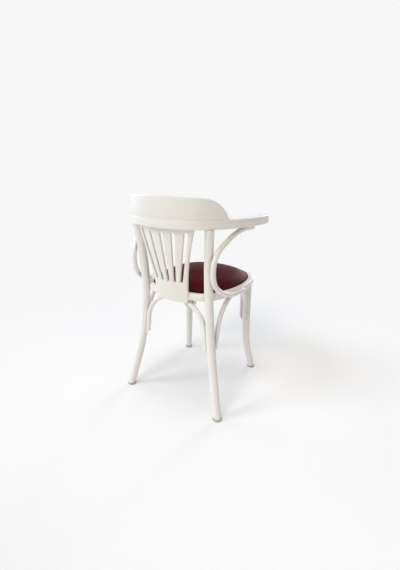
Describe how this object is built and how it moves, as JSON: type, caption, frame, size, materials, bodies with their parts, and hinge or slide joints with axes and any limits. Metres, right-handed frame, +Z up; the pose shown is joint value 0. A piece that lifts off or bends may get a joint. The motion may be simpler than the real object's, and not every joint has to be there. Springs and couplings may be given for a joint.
{
  "type": "bentwood armchair",
  "caption": "Bentwood armchair with a bent arm rail and crest, slotted back splat, round upholstered seat, arched braces and splayed legs.",
  "frame": {"origin": "on the floor, under the middle of the chair's width and depth", "axes": "+Z up, +Y to the back of the chair, -Y to its front, +X to the sitter's left"},
  "size_m": [0.4886, 0.503, 0.78],
  "materials": {
    "paint": "bent and turned beech under off-white satin paint, faint grain and softly worn edges",
    "plywood": "plain plywood",
    "piping": "dark leather cord, semi-matt",
    "leather": "burgundy leather, semi-gloss",
    "beech": "plain beech",
    "steel": "zinc-coated",
    "glide": "matt"
  },
  "bodies": {
    "root": {"seat_ring": "paint", "seat_board": "plywood", "seat_piping": "piping", "seat_cushion": "leather", "arm_rail": "paint", "crest_rail": "paint", "crest_dowels": "beech", "back_splat": "paint", "splat_dowels": "beech", "left_rear_leg": "paint", "right_rear_leg": "paint", "left_front_leg": "paint", "right_front_leg": "paint", "rear_arch": "paint", "front_arch": "paint", "left_arch": "paint", "right_arch": "paint", "left_arm_brace": "paint", "right_arm_brace": "paint", "leg_bolts": "steel", "board_screws": "steel", "arch_leg_screws": "steel", "arch_ring_screws": "steel", "brace_screws": "steel", "rear_glides": "glide", "front_glides": "glide"}
  },
  "joints": []
}
